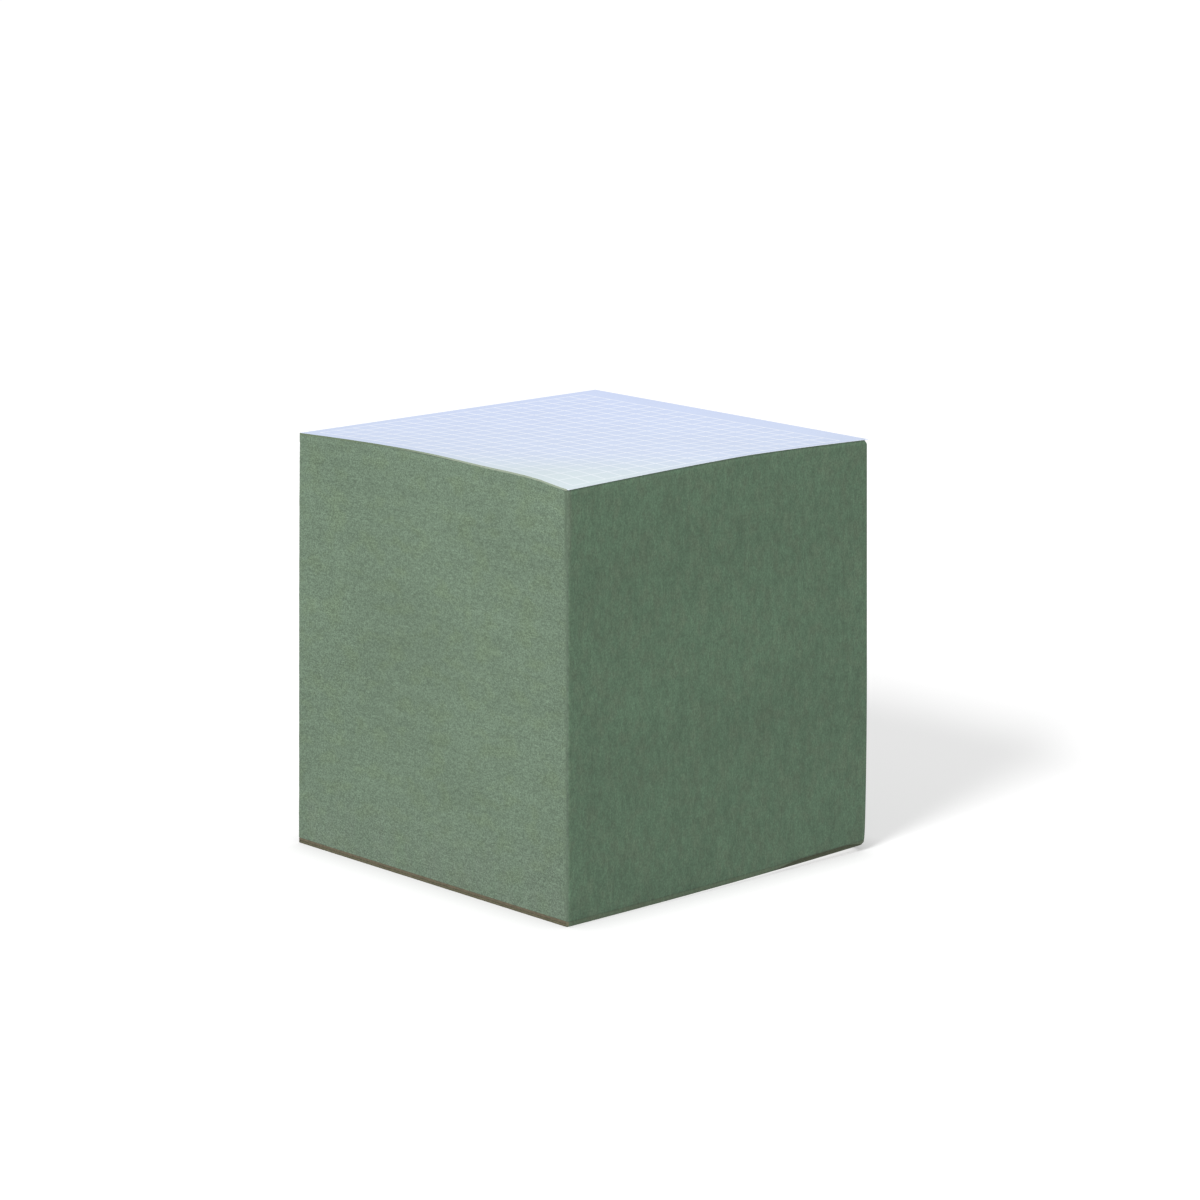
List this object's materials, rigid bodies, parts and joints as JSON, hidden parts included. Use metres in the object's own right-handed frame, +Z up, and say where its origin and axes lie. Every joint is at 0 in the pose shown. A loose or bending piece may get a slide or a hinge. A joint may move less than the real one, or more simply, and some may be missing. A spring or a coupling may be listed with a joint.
{
  "type": "memo cube",
  "caption": "Square memo cube: a tall block of tear-off note sheets with a faint printed grid and green edges, glued along one side on a chipboard back.",
  "frame": {"origin": "middle of the block's footprint, on the surface it rests on", "axes": "+Z up; +X out of the glued side, so the sheets open from the free edge at -X; +Y along the glue line"},
  "size_m": [0.0896, 0.0888, 0.0913],
  "materials": {
    "edge_coloured_paper": "matte green dye on the cut edges of the stack",
    "grid_paper": "uncoated pale blue note paper with a faint white printed grid",
    "padding_glue": "matte green padding glue, brushed on",
    "chipboard": "raw brown-grey chipboard"
  },
  "bodies": {
    "block": {"back_board": "chipboard", "glue_spine": "padding_glue", "sheets_021_045": "edge_coloured_paper", "sheets_046_070": "edge_coloured_paper", "sheets_071_095": "edge_coloured_paper", "sheets_096_120": "edge_coloured_paper", "sheets_121_145": "edge_coloured_paper", "sheets_146_170": "edge_coloured_paper", "sheets_171_195": "edge_coloured_paper", "sheets_196_220": "edge_coloured_paper", "sheets_221_245": "edge_coloured_paper", "sheets_246_270": "edge_coloured_paper", "sheets_271_295": "edge_coloured_paper", "sheets_296_320": "edge_coloured_paper", "sheets_321_345": "edge_coloured_paper", "sheets_346_370": "edge_coloured_paper", "sheets_371_395": "edge_coloured_paper", "sheets_396_420": "edge_coloured_paper", "sheets_421_445": "edge_coloured_paper", "sheets_446_470": "edge_coloured_paper", "sheets_471_495": "edge_coloured_paper", "sheets_496_520": "edge_coloured_paper", "sheets_521_545": "edge_coloured_paper", "sheets_546_570": "edge_coloured_paper", "sheets_571_595": "edge_coloured_paper", "sheets_596_620": "edge_coloured_paper", "sheets_621_645": "edge_coloured_paper", "sheets_646_670": "edge_coloured_paper", "sheets_671_695": "edge_coloured_paper", "sheets_696_720": "edge_coloured_paper", "sheets_721_745": "edge_coloured_paper", "sheets_746_770": "edge_coloured_paper", "sheets_771_795": "edge_coloured_paper", "sheets_796_820": "edge_coloured_paper", "sheets_821_845": "edge_coloured_paper", "sheets_846_870": "edge_coloured_paper", "sheets_871_895": "edge_coloured_paper"},
    "sheet_002": {"sheet_002": "grid_paper"},
    "sheet_003": {"sheet_003": "grid_paper"},
    "sheet_004": {"sheet_004": "grid_paper"},
    "sheet_005": {"sheet_005": "grid_paper"},
    "sheet_006": {"sheet_006": "grid_paper"},
    "sheet_007": {"sheet_007": "grid_paper"},
    "sheet_008": {"sheet_008": "grid_paper"},
    "sheet_009": {"sheet_009": "grid_paper"},
    "sheet_010": {"sheet_010": "grid_paper"},
    "sheet_011": {"sheet_011": "grid_paper"},
    "sheet_012": {"sheet_012": "grid_paper"},
    "sheet_013": {"sheet_013": "grid_paper"},
    "sheet_014": {"sheet_014": "grid_paper"},
    "sheet_015": {"sheet_015": "grid_paper"},
    "sheet_016": {"sheet_016": "grid_paper"},
    "sheet_017": {"sheet_017": "grid_paper"},
    "sheet_018": {"sheet_018": "grid_paper"},
    "sheet_019": {"sheet_019": "grid_paper"},
    "sheet_020": {"sheet_020": "grid_paper"},
    "top_sheet": {"top_sheet": "grid_paper"}
  },
  "joints": [
    {"name": "thumb_fan", "type": "hinge", "parent": "block", "child": "sheet_002", "pos_m": [0.04415, 0, 0.0912], "axis": [0, 1, 0], "range_deg": [0, 50]},
    {"name": "fan_003", "type": "hinge", "parent": "block", "child": "sheet_003", "pos_m": [0.04415, 0, 0.0911], "axis": [0, 1, 0], "range_deg": [0, 47.37]},
    {"name": "fan_004", "type": "hinge", "parent": "block", "child": "sheet_004", "pos_m": [0.04415, 0, 0.091], "axis": [0, 1, 0], "range_deg": [0, 44.74]},
    {"name": "fan_005", "type": "hinge", "parent": "block", "child": "sheet_005", "pos_m": [0.04415, 0, 0.0909], "axis": [0, 1, 0], "range_deg": [0, 42.11]},
    {"name": "fan_006", "type": "hinge", "parent": "block", "child": "sheet_006", "pos_m": [0.04415, 0, 0.0908], "axis": [0, 1, 0], "range_deg": [0, 39.48]},
    {"name": "fan_007", "type": "hinge", "parent": "block", "child": "sheet_007", "pos_m": [0.04415, 0, 0.0907], "axis": [0, 1, 0], "range_deg": [0, 36.85]},
    {"name": "fan_008", "type": "hinge", "parent": "block", "child": "sheet_008", "pos_m": [0.04415, 0, 0.09059], "axis": [0, 1, 0], "range_deg": [0, 34.22]},
    {"name": "fan_009", "type": "hinge", "parent": "block", "child": "sheet_009", "pos_m": [0.04415, 0, 0.0905], "axis": [0, 1, 0], "range_deg": [0, 31.58]},
    {"name": "fan_010", "type": "hinge", "parent": "block", "child": "sheet_010", "pos_m": [0.04415, 0, 0.09039], "axis": [0, 1, 0], "range_deg": [0, 28.95]},
    {"name": "fan_011", "type": "hinge", "parent": "block", "child": "sheet_011", "pos_m": [0.04415, 0, 0.09029], "axis": [0, 1, 0], "range_deg": [0, 26.32]},
    {"name": "fan_012", "type": "hinge", "parent": "block", "child": "sheet_012", "pos_m": [0.04415, 0, 0.09019], "axis": [0, 1, 0], "range_deg": [0, 23.69]},
    {"name": "fan_013", "type": "hinge", "parent": "block", "child": "sheet_013", "pos_m": [0.04415, 0, 0.09009], "axis": [0, 1, 0], "range_deg": [0, 21.06]},
    {"name": "fan_014", "type": "hinge", "parent": "block", "child": "sheet_014", "pos_m": [0.04415, 0, 0.08999], "axis": [0, 1, 0], "range_deg": [0, 18.43]},
    {"name": "fan_015", "type": "hinge", "parent": "block", "child": "sheet_015", "pos_m": [0.04415, 0, 0.08989], "axis": [0, 1, 0], "range_deg": [0, 15.79]},
    {"name": "fan_016", "type": "hinge", "parent": "block", "child": "sheet_016", "pos_m": [0.04415, 0, 0.08979], "axis": [0, 1, 0], "range_deg": [0, 13.16]},
    {"name": "fan_017", "type": "hinge", "parent": "block", "child": "sheet_017", "pos_m": [0.04415, 0, 0.08969], "axis": [0, 1, 0], "range_deg": [0, 10.53]},
    {"name": "fan_018", "type": "hinge", "parent": "block", "child": "sheet_018", "pos_m": [0.04415, 0, 0.08959], "axis": [0, 1, 0], "range_deg": [0, 7.9]},
    {"name": "fan_019", "type": "hinge", "parent": "block", "child": "sheet_019", "pos_m": [0.04415, 0, 0.08949], "axis": [0, 1, 0], "range_deg": [0, 5.27]},
    {"name": "fan_020", "type": "hinge", "parent": "block", "child": "sheet_020", "pos_m": [0.04415, 0, 0.08939], "axis": [0, 1, 0], "range_deg": [0, 2.64]},
    {"name": "top_sheet_lift", "type": "hinge", "parent": "sheet_002", "child": "top_sheet", "pos_m": [0.04415, 0, 0.0913], "axis": [0, 1, 0], "range_deg": [0, 125]}
  ],
  "couplings": [
    {"joint": "fan_003", "follows": "thumb_fan", "ratio": 0.94737},
    {"joint": "fan_004", "follows": "thumb_fan", "ratio": 0.89474},
    {"joint": "fan_005", "follows": "thumb_fan", "ratio": 0.84211},
    {"joint": "fan_006", "follows": "thumb_fan", "ratio": 0.78947},
    {"joint": "fan_007", "follows": "thumb_fan", "ratio": 0.73684},
    {"joint": "fan_008", "follows": "thumb_fan", "ratio": 0.68421},
    {"joint": "fan_009", "follows": "thumb_fan", "ratio": 0.63158},
    {"joint": "fan_010", "follows": "thumb_fan", "ratio": 0.57895},
    {"joint": "fan_011", "follows": "thumb_fan", "ratio": 0.52632},
    {"joint": "fan_012", "follows": "thumb_fan", "ratio": 0.47368},
    {"joint": "fan_013", "follows": "thumb_fan", "ratio": 0.42105},
    {"joint": "fan_014", "follows": "thumb_fan", "ratio": 0.36842},
    {"joint": "fan_015", "follows": "thumb_fan", "ratio": 0.31579},
    {"joint": "fan_016", "follows": "thumb_fan", "ratio": 0.26316},
    {"joint": "fan_017", "follows": "thumb_fan", "ratio": 0.21053},
    {"joint": "fan_018", "follows": "thumb_fan", "ratio": 0.15789},
    {"joint": "fan_019", "follows": "thumb_fan", "ratio": 0.10526},
    {"joint": "fan_020", "follows": "thumb_fan", "ratio": 0.05263}
  ]
}
